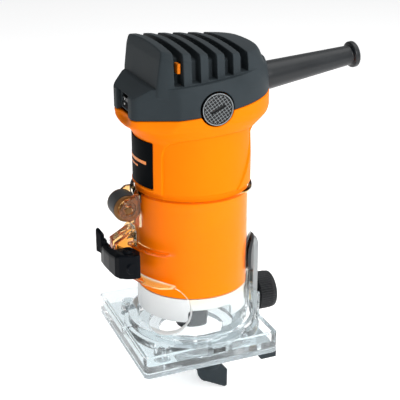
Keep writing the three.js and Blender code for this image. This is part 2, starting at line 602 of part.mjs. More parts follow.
function buildGuide() {
  add('guide_bar', guideBar(), STEEL);
  add('knob_washer', cut(rod('y', 7.6, BAR_Y[1] + GAP, BAR_Y[1] + 1.6, [0, 0, KNOB_Z], 32),
    rod('y', 2.6, 30, 50, [0, 0, KNOB_Z], 20)), STEEL);
  add('guide_knob', guideKnob(), RUBBER);
  add('guide_arm', guideArm(), BLACK);
  add('guide_wing', guideWing(), BLACK);
  const pin = joined(post(1.7, ARM_TOP - ARM_T, -8.2, 0, ROLLER_Y, 16), post(3, -8.2, -7.2, 0, ROLLER_Y, 16));
  add('roller_pin', pin, STEEL);
  add('guide_roller', ring(ROLLER_R, 2.1, ARM_TOP + 2 * GAP, -8.6, 32, 0, ROLLER_Y), STEEL);
}

buildBase();
buildMotor();
buildSpindle();
buildControls();
buildGuide();

const router = new THREE.Group();
router.position.z = -SEAT_Z;
router.add(...meshes);

export default router;
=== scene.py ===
"""Looks of the trim router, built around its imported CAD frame.

Each visible piece is an implicit solid: a function of x, y and z that is negative inside it. Solids are
joined and cut with soft edges, turned into quads, pulled onto the exact surface and shaded with the
function's own normals. The functions work in millimetres, with z as the height above the sole.
"""
import json
import math

import bpy
import numpy as np
import openvdb
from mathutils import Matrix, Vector


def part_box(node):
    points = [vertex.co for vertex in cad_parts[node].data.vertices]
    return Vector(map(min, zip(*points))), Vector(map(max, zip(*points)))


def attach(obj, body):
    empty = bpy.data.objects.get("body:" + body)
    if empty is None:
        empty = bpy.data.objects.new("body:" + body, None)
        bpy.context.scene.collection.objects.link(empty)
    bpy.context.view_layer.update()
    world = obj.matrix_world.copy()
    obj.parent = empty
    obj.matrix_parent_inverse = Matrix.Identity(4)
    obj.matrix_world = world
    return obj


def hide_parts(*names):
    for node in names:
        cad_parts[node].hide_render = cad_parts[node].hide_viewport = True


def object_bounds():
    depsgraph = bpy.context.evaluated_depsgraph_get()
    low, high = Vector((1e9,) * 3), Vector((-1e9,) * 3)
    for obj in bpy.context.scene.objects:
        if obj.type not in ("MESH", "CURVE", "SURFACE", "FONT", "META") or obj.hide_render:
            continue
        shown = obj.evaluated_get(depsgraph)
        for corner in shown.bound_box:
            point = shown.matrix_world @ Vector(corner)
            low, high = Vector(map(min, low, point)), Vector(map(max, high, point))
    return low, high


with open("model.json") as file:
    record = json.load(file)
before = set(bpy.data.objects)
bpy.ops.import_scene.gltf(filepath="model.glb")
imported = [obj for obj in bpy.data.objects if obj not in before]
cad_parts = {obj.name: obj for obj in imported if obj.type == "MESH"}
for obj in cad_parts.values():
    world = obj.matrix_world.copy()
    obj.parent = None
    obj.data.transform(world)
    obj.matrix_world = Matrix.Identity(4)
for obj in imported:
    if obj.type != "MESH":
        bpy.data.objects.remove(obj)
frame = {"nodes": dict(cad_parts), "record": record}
cad_low, cad_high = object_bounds()

MM = 0.001
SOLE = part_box("sole_plate")[0].z          # underside of the sole in the frame, metres


def span(*nodes):
    """Lowest and highest corner of some CAD nodes together, in millimetres above the sole."""
    corners = [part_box(node) for node in nodes]
    low = [min(c[0][i] for c in corners) for i in range(3)]
    high = [max(c[1][i] for c in corners) for i in range(3)]
    low[2] -= SOLE
    high[2] -= SOLE
    return np.array(low) / MM, np.array(high) / MM


# ---- driving sizes, taken from the frame ----
HOUSING_LOW = span("motor_housing")[0][2]
TRAY_X, TRAY_FRONT = span("sole_plate")[1][0], span("sole_plate")[0][1]
TRAY_REAR, SOLE_TOP = span("sole_plate")[1][1], span("sole_plate")[1][2]
HEAD_TOP = span("head_cap")[1][2]
CAP_FACE = span("brush_cap_right")[1][0]
CAP_Z = (span("brush_cap_right")[0][2] + span("brush_cap_right")[1][2]) / 2
WHEEL_Y = sum(b[1] for b in span("depth_wheel")) / 2
WHEEL_Z = sum(b[2] for b in span("depth_wheel")) / 2
WHEEL_R = (span("depth_wheel")[1][2] - span("depth_wheel")[0][2]) / 2
LEVER_LOW = span("clamp_lever")[0][2]
PIN_X = sum(b[0] for b in span("lever_pin")) / 2
PIN_Y = sum(b[1] for b in span("lever_pin")) / 2
BOLT_Z = sum(b[2] for b in span("clamp_bolt")) / 2
BAR_LOW, BAR_HIGH = span("guide_bar")
BAR_T = 3.3
KNOB_LOW, KNOB_HIGH = span("guide_knob")
KNOB_Z = (KNOB_LOW[2] + KNOB_HIGH[2]) / 2
ARM_LOW, ARM_HIGH = span("guide_arm")
WING_LOW, WING_HIGH = span("guide_wing")
ROLLER_Y = sum(b[1] for b in span("guide_roller")) / 2

# ---- sizes that the boxes don't show ----
GAP = 0.3
SLIDE_R = 31.4                            # motor housing inside the tube
BODY_R = 32.4                             # motor housing above the tube
BODY_LOW = 96.0
TUBE_IN, TUBE_OUT, TUBE_TOP = 31.8, 33.9, 93.5
TRAY_TOP, TRAY_FLOOR, TRAY_WALL = 12.5, 6.0, 2.6
SCREWS = [(x, y) for x in (-29.0, 29.0) for y in (-29.5, 20.5)]
TILT = 0.13                               # slope of the head's joint lines towards the rear
PART_Z, LEDGE_Z = 141.7, 158.3
SLOT_FIRST, SLOT_PITCH, SLOT_COUNT, SLOT_W = -18.6, 8.9, 5, 4.6
FRONT_FLAT = 38.8
GUARD_Y, GUARD_Z, GUARD_RISE = 45.2, 149.8, 7.6
WING_Y = 12.5
WINDOW_Y, WINDOW_Z, WINDOW_R = -27.6, 29.8, 15.1
CAP_R = 8.35
PAD_R = 35.8


# ---- distances ----
def soft_min(a, b, k):
    h = np.maximum(k - np.abs(a - b), 0) / k
    return np.minimum(a, b) - h * h * (k / 4)


def union(first, *rest, k=0.6):
    for other in rest:
        first = soft_min(first, other, k)
    return first


def common(first, *rest, k=0.6):
    for other in rest:
        first = -soft_min(-first, -other, k)
    return first


def carve(body, *tools, k=0.6):
    for tool in tools:
        body = common(body, -tool, k=k)
    return body


def slab(t, low, high):
    return np.abs(t - (low + high) / 2) - (high - low) / 2


def rounded(across, along, r):
    """Where two distances meet at an edge of radius r."""
    a, b = across + r, along + r
    return np.minimum(np.maximum(a, b), 0) + np.hypot(np.maximum(a, 0), np.maximum(b, 0)) - r


def rect(u, v, u0, u1, v0, v1, r=0.5):
    return rounded(slab(u, u0, u1), slab(v, v0, v1), r)


def block(x, y, z, xs, ys, zs, r=0.5):
    return rounded(rect(x, y, *xs, *ys, r), slab(z, *zs), r)


def rod(u, v, t, r, low, high, edge=0.3, centre=(0, 0)):
    """A round bar along t."""
    return rounded(np.hypot(u - centre[0], v - centre[1]) - r, slab(t, low, high), edge)


def polygon(u, v, points):
    best, inside = np.float32(1e9), False
    for (u0, v0), (u1, v1) in zip(points, points[1:] + points[:1]):
        du, dv = u1 - u0, v1 - v0
        if abs(du) + abs(dv) < 1e-6:
            continue
        along = np.clip(((u - u0) * du + (v - v0) * dv) / (du * du + dv * dv), 0, 1)
        best = np.minimum(best, (u - u0 - along * du) ** 2 + (v - v0 - along * dv) ** 2)
        if dv:
            crosses = (np.minimum(v0, v1) <= v) & (v < np.maximum(v0, v1))
            inside = inside ^ (crosses & (u < u0 + (v - v0) / dv * du))
    return np.where(inside, -1, 1) * np.sqrt(best)


def prism(u, v, t, points, low, high, r=0.5):
    return rounded(polygon(u, v, points), slab(t, low, high), r)


def arc(u, v, r, start, end, steps=8):
    angles = np.radians(np.linspace(start, end, steps))
    return [(u + r * math.cos(a), v + r * math.sin(a)) for a in angles]


def curve(points, softness=1.5):
    """A smooth function through [height, value] points."""
    heights, values = zip(*points)
    table = np.arange(heights[0] - 9, heights[-1] + 9, 0.1)
    raw = np.interp(table, heights, values)
    width = max(1, int(softness / 0.1))
    padded = np.pad(raw, width, mode="edge")
    kernel = np.hanning(2 * width + 1)
    smooth = np.convolve(padded, kernel / kernel.sum(), mode="valid")
    return lambda t: np.interp(t, table, smooth).astype(np.float32)


def egg(x, y, a, rear, front, power):
    """Outline like an ellipse with its own reach to the rear and the front."""
    b = np.where(y < 0, front, rear)
    q = ((np.abs(x) / a) ** power + (np.abs(y) / b) ** power) ** (1 / power)
    q = np.maximum(q, 1e-3)
    return np.hypot(x, y) * (1 - 1 / q)


# ---- from distances to meshes ----
def slopes(field, points, reach=0.04):
    values = []
    for axis in range(3):
        step = np.zeros(3, np.float32)
        step[axis] = reach
        ahead, behind = (points + step).T, (points - step).T
        values.append((field(*ahead) - field(*behind)) / (2 * reach))
    return np.stack(values, 1)


def settle(field, points, limit, rounds=3):
    """Moves points onto the field's zero surface, by at most limit each round."""
    for _ in range(rounds):
        g = slopes(field, points)
        pull = field(*points.T) / np.maximum((g * g).sum(1), 1e-3)
        move = g * pull[:, None]
        size = np.linalg.norm(move, axis=1)
        points = points - move * np.minimum(1, limit / np.maximum(size, 1e-9))[:, None]
    return points


def solid(name, field, low, high, step, keep=1.0):
    """A mesh object of the field's surface. keep is the share of the faces that is kept."""
    low, high = np.array(low, np.float32) - 2 * step, np.array(high, np.float32) + 2 * step
    axes = [np.arange(a, b + step, step, dtype=np.float32) for a, b in zip(low, high)]
    x, y, z = np.meshgrid(*axes, indexing="ij", sparse=True)
    shape = tuple(len(a) for a in axes)
    values = np.ascontiguousarray(np.broadcast_to(field(x, y, z), shape), dtype=np.float32)
    grid = openvdb.FloatGrid(background=float(3 * step))
    grid.copyFromArray(np.clip(values, -3 * step, 3 * step))
    points, quads = grid.convertToQuads(isovalue=0.0)
    points = settle(field, points.astype(np.float32) * step + low, 0.45 * step)
    mesh = bpy.data.meshes.new(name)
    mesh.from_pydata(points, [], quads)
    thing = bpy.data.objects.new(name, mesh)
    bpy.context.collection.objects.link(thing)
    if keep < 1:
        thin = thing.modifiers.new("thin", "DECIMATE")
        thin.ratio = keep
        view = bpy.context.evaluated_depsgraph_get()
        thing.data = bpy.data.meshes.new_from_object(thing.evaluated_get(view))
        thing.modifiers.clear()
        bpy.data.meshes.remove(mesh)
        mesh = thing.data
        mesh.name = name
        points = np.empty(len(mesh.vertices) * 3, np.float32)
        mesh.vertices.foreach_get("co", points)
        points = points.reshape(-1, 3)
    normals = slopes(field, points)
    normals /= np.maximum(np.linalg.norm(normals, axis=1), 1e-9)[:, None]
    placed = points * MM
    placed[:, 2] += SOLE
    mesh.vertices.foreach_set("co", placed.astype(np.float32).ravel())
    mesh.update()
    mesh.normals_split_custom_set_from_vertices(normals)
    return thing


def piece(name, field, replaces, body, step, look, keep=1.0, room=None):
    """A solid that stands for some CAD nodes and rides on their body."""
    low, high = room or span(*replaces)
    thing = solid(name, field, low, high, step, keep)
    thing.data.materials.append(look)
    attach(thing, body)
    if replaces:
        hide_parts(*replaces)
    return thing


# ---- materials ----
def shader(name, slot):
    look = bpy.data.materials.new(name)
    look.use_nodes = True
    look["slot"] = slot
    nodes, links = look.node_tree.nodes, look.node_tree.links
    return look, nodes, links, nodes["Principled BSDF"]


def noise(nodes, links, scale, detail=3.0, stretch=(1, 1, 1)):
    where = nodes.new("ShaderNodeTexCoord")
    mapping = nodes.new("ShaderNodeMapping")
    mapping.inputs["Scale"].default_value = stretch
    cloud = nodes.new("ShaderNodeTexNoise")
    cloud.inputs["Scale"].default_value = scale
    cloud.inputs["Detail"].default_value = detail
    links.new(where.outputs["Object"], mapping.inputs["Vector"])
    links.new(mapping.outputs["Vector"], cloud.inputs["Vector"])
    return cloud.outputs["Fac"]


def remap(nodes, links, value, low, high):
    span_node = nodes.new("ShaderNodeMapRange")
    span_node.inputs["From Min"].default_value = 0.3
    span_node.inputs["From Max"].default_value = 0.7
    span_node.inputs["To Min"].default_value = low
    span_node.inputs["To Max"].default_value = high
    links.new(value, span_node.inputs["Value"])
    return span_node.outputs["Result"]


def ramp(nodes, links, value, start, end):
    """0 to 1 between two places in millimetres, for a value in metres."""
    rise = nodes.new("ShaderNodeMapRange")
    rise.inputs["From Min"].default_value = start * MM
    rise.inputs["From Max"].default_value = end * MM
    links.new(value, rise.inputs["Value"])
    return rise.outputs["Result"]


def surface(name, slot, color, rough, grain=2500, depth=0.006, vary=0.06, metal=0.0, stretch=(1, 1, 1),
            shine=0.5):
    """A moulded or metal surface: fine grain in the bump, broad variation in colour and roughness."""
    look, nodes, links, bsdf = shader(name, slot)
    bsdf.inputs["Metallic"].default_value = metal
    bsdf.inputs["Specular IOR Level"].default_value = shine
    broad = noise(nodes, links, 45, 4.0)
    mix = nodes.new("ShaderNodeMix")
    mix.data_type = "RGBA"
    mix.inputs["A"].default_value = (*[c * (1 - vary) for c in color], 1)
    mix.inputs["B"].default_value = (*[min(1, c * (1 + vary)) for c in color], 1)
    links.new(remap(nodes, links, broad, 0, 1), mix.inputs["Factor"])
    links.new(mix.outputs["Result"], bsdf.inputs["Base Color"])
    links.new(remap(nodes, links, broad, rough - 0.05, rough + 0.05), bsdf.inputs["Roughness"])
    bump = nodes.new("ShaderNodeBump")
    bump.inputs["Strength"].default_value = 0.5
    bump.inputs["Distance"].default_value = depth * MM
    links.new(noise(nodes, links, grain, 3.0, stretch), bump.inputs["Height"])
    links.new(bump.outputs["Normal"], bsdf.inputs["Normal"])
    return look


def cut_edge(nodes, links, place):
    """1 on the sawn face of the chip window's round end and 0 elsewhere."""
    squares = []
    for axis, middle in (("Y", WINDOW_Y), ("Z", WINDOW_Z + SOLE / MM)):
        off = nodes.new("ShaderNodeMath")
        off.operation = "SUBTRACT"
        off.inputs[1].default_value = middle * MM
        links.new(place.outputs[axis], off.inputs[0])
        square = nodes.new("ShaderNodeMath")
        square.operation = "MULTIPLY"
        links.new(off.outputs["Value"], square.inputs[0])
        links.new(off.outputs["Value"], square.inputs[1])
        squares.append(square.outputs["Value"])
    total = nodes.new("ShaderNodeMath")
    total.operation = "ADD"
    links.new(squares[0], total.inputs[0])
    links.new(squares[1], total.inputs[1])
    reach = nodes.new("ShaderNodeMath")
    reach.operation = "SQRT"
    links.new(total.outputs["Value"], reach.inputs[0])
    return ramp(nodes, links, reach.outputs["Value"], WINDOW_R + 0.35, WINDOW_R + 0.1)


def multiply(nodes, links, a, b):
    product = nodes.new("ShaderNodeMath")
    product.operation = "MULTIPLY"
    links.new(a, product.inputs[0])
    links.new(b, product.inputs[1])
    return product.outputs["Value"]


def blend(nodes, links, share, a, b):
    """From colour a at 0 to colour b at 1. Each is a socket or three numbers."""
    mix = nodes.new("ShaderNodeMix")
    mix.data_type = "RGBA"
    links.new(share, mix.inputs["Factor"])
    for name, color in (("A", a), ("B", b)):
        if isinstance(color, tuple):
            mix.inputs[name].default_value = (*color, 1)
        else:
            links.new(color, mix.inputs[name])
    return mix.outputs["Result"]


def graded(nodes, links, high, front, base, wall, ears):
    """One number for the foot of the clear base, one for the tube's wall and one for its ears."""
    rise = nodes.new("ShaderNodeMapRange")
    rise.inputs["To Min"].default_value = base
    rise.inputs["To Max"].default_value = wall
    links.new(high, rise.inputs["Value"])
    last = nodes.new("ShaderNodeMapRange")
    last.inputs["To Max"].default_value = ears
    links.new(rise.outputs["Result"], last.inputs["To Min"])
    links.new(front, last.inputs["Value"])
    return last.outputs["Result"]


def from_axis(nodes, links, where):
    """Distance from the spindle's axis, in metres."""
    flat = nodes.new("ShaderNodeVectorMath")
    flat.operation = "MULTIPLY"
    flat.inputs[1].default_value = (1, 1, 0)
    reach = nodes.new("ShaderNodeVectorMath")
    reach.operation = "LENGTH"
    links.new(where.outputs["Object"], flat.inputs[0])
    links.new(flat.outputs["Vector"], reach.inputs[0])
    return reach.outputs["Value"]


def clear(name, slot, color, rough, wall=None, warm=None):
    """Clear moulded plastic with faint flow marks, which lets the lamps through. The warm colour is a painted
    reflection: the parts that stand out in front of the tube get it in place of the light they gather from
    the housing."""
    look, nodes, links, bsdf = shader(name, slot)
    bsdf.inputs["Base Color"].default_value = (*color, 1)
    bsdf.inputs["Transmission Weight"].default_value = 0.86
    bsdf.inputs["IOR"].default_value = 1.22
    bsdf.inputs["Specular IOR Level"].default_value = 0.1
    haze = remap(nodes, links, noise(nodes, links, 60, 3.0), rough, rough + 0.03)
    links.new(haze, bsdf.inputs["Roughness"])
    bump = nodes.new("ShaderNodeBump")
    bump.inputs["Strength"].default_value = 0.25
    bump.inputs["Distance"].default_value = 0.05 * MM
    links.new(noise(nodes, links, 90, 2.0), bump.inputs["Height"])
    links.new(bump.outputs["Normal"], bsdf.inputs["Normal"])
    if warm:
        where = nodes.new("ShaderNodeTexCoord")
        split = nodes.new("ShaderNodeSeparateXYZ")
        links.new(where.outputs["Object"], split.inputs["Vector"])
        out = from_axis(nodes, links, where)
        ahead = ramp(nodes, links, split.outputs["Y"], -14, -18)
        front = multiply(nodes, links, ramp(nodes, links, out, 34.1, 34.7), ahead)
        high = ramp(nodes, links, split.outputs["Z"], 28 + SOLE / MM, 36 + SOLE / MM)
        both = multiply(nodes, links, front, high)
        links.new(graded(nodes, links, high, both, 1.2, 1.11, 1.4), bsdf.inputs["IOR"])
        milk = nodes.new("ShaderNodeMapRange")
        milk.inputs["To Min"].default_value = 0.94
        milk.inputs["To Max"].default_value = 1.0
        links.new(high, milk.inputs["Value"])
        frost = cut_edge(nodes, links, split)
        open_part = nodes.new("ShaderNodeMath")
        open_part.operation = "SUBTRACT"
        open_part.use_clamp = True
        links.new(milk.outputs["Result"], open_part.inputs[0])
        links.new(frost, open_part.inputs[1])
        links.new(open_part.outputs["Value"], bsdf.inputs["Transmission Weight"])
        # Tube wall tint: partly the clear plastic's own warm tone, partly painted shade that darkens the
        # housing seen through the tube.
        body = blend(nodes, links, high, color, wall)
        # Painted shade: a dark amber line along the tube's top rim.
        rim = ramp(nodes, links, split.outputs["Z"], TUBE_TOP - 0.9 + SOLE / MM, TUBE_TOP - 0.4 + SOLE / MM)
        body = blend(nodes, links, rim, body, (0.5, 0.22, 0.03))
        # Painted reflection: the warm amber on the front lugs, flanges and ears.
        links.new(blend(nodes, links, both, body, warm), bsdf.inputs["Base Color"])
    path = nodes.new("ShaderNodeLightPath")
    through = nodes.new("ShaderNodeBsdfTransparent")
    through.inputs["Color"].default_value = (*color, 1)
    choice = nodes.new("ShaderNodeMixShader")
    links.new(path.outputs["Is Shadow Ray"], choice.inputs["Fac"])
    links.new(bsdf.outputs["BSDF"], choice.inputs[1])
    links.new(through.outputs["BSDF"], choice.inputs[2])
    links.new(choice.outputs["Shader"], nodes["Material Output"].inputs["Surface"])
    return look


def knurled(name, slot, dark, light, low, high):
    """Gloss black whose raised ridges and rim are painted lighter by their height along X, a painted
    highlight on the knurl.
    """
    look = surface(name, slot, dark, 0.3, depth=0.002, shine=0.3)
    nodes, links = look.node_tree.nodes, look.node_tree.links
    bsdf = nodes["Principled BSDF"]
    where = nodes.new("ShaderNodeTexCoord")
    split = nodes.new("ShaderNodeSeparateXYZ")
    across = nodes.new("ShaderNodeMath")
    across.operation = "ABSOLUTE"
    links.new(where.outputs["Object"], split.inputs["Vector"])
    links.new(split.outputs["X"], across.inputs[0])
    # Painted highlight: from the dark colour to the light one on the highest ridges and the rim.
    tint = nodes.new("ShaderNodeMix")
    tint.data_type = "RGBA"
    tint.inputs["A"].default_value = (*dark, 1)
    tint.inputs["B"].default_value = (*light, 1)
    links.new(ramp(nodes, links, across.outputs["Value"], low, high), tint.inputs["Factor"])
    links.new(tint.outputs["Result"], bsdf.inputs["Base Color"])
    return look


def bracket_look_painted_light_shade():
    """Machined outside, in a grey lighter than the plain cast aluminium, which is partly painted light for
    the band behind the clear tube.
    Painted dark inside as shade in the bracket's hollow, by the distance from the spindle.
    """
    # Partly painted light: a lighter grey than the cast aluminium look, for the band seen behind the clear
    # tube.
    look = surface("turned_bracket", "cast_aluminium", (0.70, 0.72, 0.725), 0.42, depth=0.01, metal=0.4,
                   stretch=(1, 1, 8), shine=0.2)
    nodes, links = look.node_tree.nodes, look.node_tree.links
    bsdf = nodes["Principled BSDF"]
    where = nodes.new("ShaderNodeTexCoord")
    tint = nodes.new("ShaderNodeMix")
    tint.data_type = "RGBA"
    # Painted shade: near-black on the inside of the bracket's hollow.
    tint.inputs["A"].default_value = (0.035, 0.045, 0.05, 1)
    links.new(bsdf.inputs["Base Color"].links[0].from_socket, tint.inputs["B"])
    links.new(ramp(nodes, links, from_axis(nodes, links, where), 24, 30.6), tint.inputs["Factor"])
    links.new(tint.outputs["Result"], bsdf.inputs["Base Color"])
    return look


LOOKS = {
    "orange": surface("orange_plastic", "orange_plastic", (0.97, 0.205, 0.0), 0.5, shine=0.05, vary=0.03),
    # Painted shade: a darker copy of the housing orange for the inner frame's end, which sits in shade in the
    # first slot.
    "painted_shade_orange": surface("frame_orange_painted_shade", "orange_plastic", (0.62, 0.15, 0.004), 0.5, shine=0.1),
    "black": surface("black_plastic", "black_plastic", (0.030, 0.038, 0.043), 0.5, depth=0.02, vary=0.12,
                     shine=0.07),
    "gloss": surface("gloss_black", "gloss_black", (0.004, 0.005, 0.007), 0.13, depth=0.002, vary=0.1,
                     shine=0.05),
    "knob": surface("knob_black", "knob_black", (0.008, 0.009, 0.011), 0.42, depth=0.012, vary=0.12,
                    shine=0.3),
    "rubber": surface("rubber", "rubber", (0.007, 0.009, 0.011), 0.36, depth=0.012, vary=0.15, shine=0.4),
    "label": surface("label_film", "label", (0.002, 0.003, 0.004), 0.5, depth=0.004, shine=0.02),
    "mark": surface("label_mark", "label", (1.0, 0.3, 0.05), 0.4, depth=0.002),
    "white": surface("switch_mark", "gloss_black", (0.85, 0.85, 0.83), 0.4, depth=0.002),
    # Painted highlight: the brush caps' ridge tops and rim turn light grey by their height.
    "cap": knurled("cap_black_painted_highlight", "gloss_black", (0.004, 0.005, 0.006), (0.27, 0.29, 0.30), CAP_FACE - 0.5,
                   CAP_FACE - 0.3),
    "cast": surface("cast_aluminium", "cast_aluminium", (0.55, 0.57, 0.575), 0.42, depth=0.01, metal=0.4,
                    stretch=(1, 1, 8), shine=0.2),
    "bracket": bracket_look_painted_light_shade(),
    "bar": surface("bar_steel", "bar_steel", (0.30, 0.315, 0.32), 0.4, depth=0.008, metal=0.6,
                   stretch=(6, 1, 0.4)),
    "steel": surface("fastener_steel", "fastener_steel", (0.5, 0.51, 0.53), 0.28, depth=0.004, metal=1.0),
    "dark": surface("dark_steel", "dark_steel", (0.014, 0.018, 0.022), 0.36, depth=0.006, metal=0.3),
    "lamination": surface("lamination_steel", "lamination_steel", (0.3, 0.31, 0.33), 0.45, grain=900,
                          depth=0.08, metal=0.9, stretch=(0.1, 0.1, 3)),
    "copper": surface("copper", "copper", (0.72, 0.3, 0.13), 0.35, grain=900, depth=0.05, metal=0.9,
                      stretch=(1, 1, 0.2)),
    "brass": surface("brass", "brass", (0.8, 0.58, 0.24), 0.3, depth=0.004, metal=1.0),
    # Painted reflection: amber on the wheel's hub and flanges, in place of the orange housing's light seen in
    # the clear ears.
    "hub": surface("hub_painted_amber_reflection", "rubber", (0.13, 0.06, 0.016), 0.35, depth=0.004, metal=0.6),
    "carbon": surface("carbon", "carbon", (0.03, 0.03, 0.03), 0.75, depth=0.03),
    "clear": clear("clear_plastic", "clear_plastic", (0.885, 0.92, 0.93), 0.01, wall=(0.945, 0.89, 0.80),
                   warm=(0.98, 0.62, 0.25)),
    "smoke": clear("sole_plastic", "sole_plastic", (0.84, 0.89, 0.91), 0.05),
}

# The looks of the CAD nodes that stay as they are, by slot.
SPECIAL = ("painted_shade_orange", "mark", "white", "cap", "hub", "bracket")
BY_SLOT = {look["slot"]: look for key, look in LOOKS.items() if key not in SPECIAL}


# ---- clear base ----
tube_radius = curve([(5, 36.9), (17, 34.9), (21, TUBE_OUT), (94, TUBE_OUT)], 1.0)


def guide_boss(x, y, z):
    rear = BAR_LOW[1] if BAR_LOW[1] > 30 else BAR_HIGH[1] - BAR_T
    wall = block(x, y, z, (-12.5, 12.5), (29, rear - GAP), (SOLE_TOP + 1, 30), 0.6)
    cheeks = block(np.abs(x), y, z, (11.6, 14.6), (29, BAR_HIGH[1]), (SOLE_TOP + 1, 24), 0.6)
    return union(wall, cheeks)


def clamp_lugs(x, y, z):
    side = [(-31.5, 43), (-31.5, 71), (-36, 70.5), (-46.2, 64.6), (-46.4, 46)]
    lugs = prism(y, z, x, side, -8, 4.2, 0.7)
    rho = np.hypot(x, y)
    blade = TUBE_OUT + 5.4 * np.clip((-y - 20) / 9, 0, 1) ** 0.6
    flanges = [rounded(rho - blade, slab(z, low, low + 1.8), 0.5) for low in (63, 43.8)]
    flanges = [np.maximum(f, y + 19) for f in flanges]
    return union(lugs, *flanges, k=1.2)


def wheel_ears(x, y, z):
    side = [(-31.5, WHEEL_Z - 12), (-31.5, TUBE_TOP), (-36, TUBE_TOP)]
    side += arc(WHEEL_Y + 0.8, WHEEL_Z, 6.2, 90, 225)
    return prism(y, z, np.abs(x), side, 6.6, 9.6, 0.5)


def base_body(x, y, z):
    rho = np.hypot(x, y)
    outline = rect(x, y, -TRAY_X, TRAY_X, TRAY_FRONT, TRAY_REAR, 3)
    outer = rounded(outline, slab(z, SOLE_TOP + GAP, TRAY_TOP), 0.5)
    inner = rect(x, y, TRAY_WALL - TRAY_X, TRAY_X - TRAY_WALL,
                 TRAY_FRONT + TRAY_WALL, TRAY_REAR - TRAY_WALL, 2)
    tray = carve(outer, np.maximum(inner, TRAY_FLOOR - z), k=0.7)
    low = TRAY_FLOOR - 1
    ribs = union(
        block(x, y, z, (1 - TRAY_X, TRAY_X - 1), (-6, -4), (low, TRAY_TOP - 1), 0.5),
        block(x, y, z, (1 - TRAY_X, TRAY_X - 1), (6.5, 8), (low, TRAY_TOP - 3), 0.5),
        block(x, y, z, (-1, 1), (TRAY_FRONT + 1, -36), (low, TRAY_TOP - 2), 0.4))
    step = rounded(rho - 39.5, slab(z, low, 10), 0.6)
    foot = union(step, rounded(rho - 37, slab(z, low, 14.5), 0.8), k=0.5)
    tube = rounded(rho - tube_radius(z), slab(z, low, TUBE_TOP), 0.7)
    window = np.minimum(np.hypot(y - WINDOW_Y, z - WINDOW_Z) - WINDOW_R,
                        np.maximum(y - WINDOW_Y, np.abs(z - WINDOW_Z) - WINDOW_R))
    shell = carve(union(tray, ribs, foot, tube, k=0.9), window, k=0.3)
    shell = union(shell, wheel_ears(x, y, z), clamp_lugs(x, y, z), guide_boss(x, y, z), k=0.9)
    for sx, sy in SCREWS:
        shell = union(shell, rod(x, y, z, 4.2, low, TRAY_TOP - 1.5, 0.5, (sx, sy)), k=1.0)
        shell = carve(shell, rod(x, y, z, 1.9, 0, TRAY_TOP - 4, 0.2, (sx, sy)), k=0.3)
    bar = (BAR_HIGH[1] - BAR_T - GAP, 60)
    pad_low, pad_high = span("guide_pad")
    pad_inset = (pad_low[2] + 1.7, pad_high[2] - 3.7)
    return carve(
        shell,
        np.maximum(rho - TUBE_IN, TRAY_FLOOR - z),
        np.maximum(rho - 25, z - TRAY_FLOOR - 1),
        np.maximum(rect(x, z, -0.9, 0.9, 40, 120, 0.1), y + 30),
        rod(y, z, x, 2.1, -12, 12, 0.1, (WHEEL_Y, WHEEL_Z)),
        rod(y, z, x, WHEEL_R + 0.5, -6.6, 6.6, 0.1, (WHEEL_Y, WHEEL_Z)),
        rod(y, z, x, 2.6, -12, 8, 0.1, (PIN_Y, BOLT_Z)),
        rod(x, z, y, 4.5, 30, 36, 0.1, (0, KNOB_Z)),
        block(x, y, z, (-11.4, 11.4), bar, (-5, 120), 0.2),
        block(x, y, z, (-8.8, 8.8), (pad_high[1] - 1.4, 60), pad_inset, 0.2),
        k=0.4)


def sole_plate(x, y, z):
    plate = rounded(rect(x, y, -TRAY_X, TRAY_X, TRAY_FRONT, TRAY_REAR, 3), slab(z, 0, SOLE_TOP), 0.5)
    bar = (BAR_HIGH[1] - BAR_T - GAP, 60)
    plate = carve(plate, np.hypot(x, y) - 19, block(x, y, z, (-11.4, 11.4), bar, (-5, 9), 0.3), k=0.6)
    for sx, sy in SCREWS:
        well = np.hypot(x - sx, y - sy)
        plate = carve(plate, well - 2.2, np.maximum(well - 4.2, z - 1.2), k=0.3)
    return plate


def sole_screw(sx, sy):
    def field(x, y, z):
        r = np.hypot(x - sx, y - sy)
        head = rounded(r - 3.8, slab(z, 0.3, 1.0), 0.25)
        thread = 1.45 + 0.15 * np.cos(2 * np.pi * z / 0.9)
        shank = np.maximum(r - thread, slab(z, 0.5, 7.8))
        cross = np.minimum(rect(x, y, sx - 2, sx + 2, sy - 0.4, sy + 0.4, 0.1),
                           rect(x, y, sx - 0.4, sx + 0.4, sy - 2, sy + 2, 0.1))
        return carve(union(head, shank, k=0.3), np.maximum(cross, z - 0.6), k=0.15)
    return field


# ---- motor housing and head ----
side_r = curve([(112, BODY_R), (124.4, 31.8), (128.5, 32.8), (132.5, 34.8), (135.4, 36.2), (138.6, 36.9),
                (144, 37.2)])
rear_r = curve([(112, BODY_R), (124.4, 31.9), (128.5, 33.9), (132.5, 38.6), (135.4, 41.6), (138.6, 42.5),
                (144, 42.3)])
front_r = curve([(112, BODY_R), (124.4, 31.8), (128.5, 35), (132.5, 40.9), (136, 41.5), (144, 41.5)])
facet_r = curve([(112, 36), (124.8, 34.6), (128.5, 35.4), (132.5, 37.5), (135.4, 38.0), (144, 38.0)])
FACET = (0.753, -0.658)                   # outward direction of the front corner facets


def body_outline(x, y, z):
    outline = egg(x, y, side_r(z), rear_r(z), front_r(z), 2.15)
    facet = FACET[0] * np.abs(x) + FACET[1] * y - facet_r(z)
    return common(outline, -FRONT_FLAT - y, facet, k=0.5)


def cap_wells(x, y, z):
    """Recesses of the two brush caps."""
    return rounded(np.hypot(y, z - CAP_Z) - CAP_R - 0.9, 33.1 - np.abs(x), 0.3)


def guard_hole(x, y, z):
    return np.maximum(np.hypot(x, z - GUARD_Z + 1) - 8.8, 30 - y)


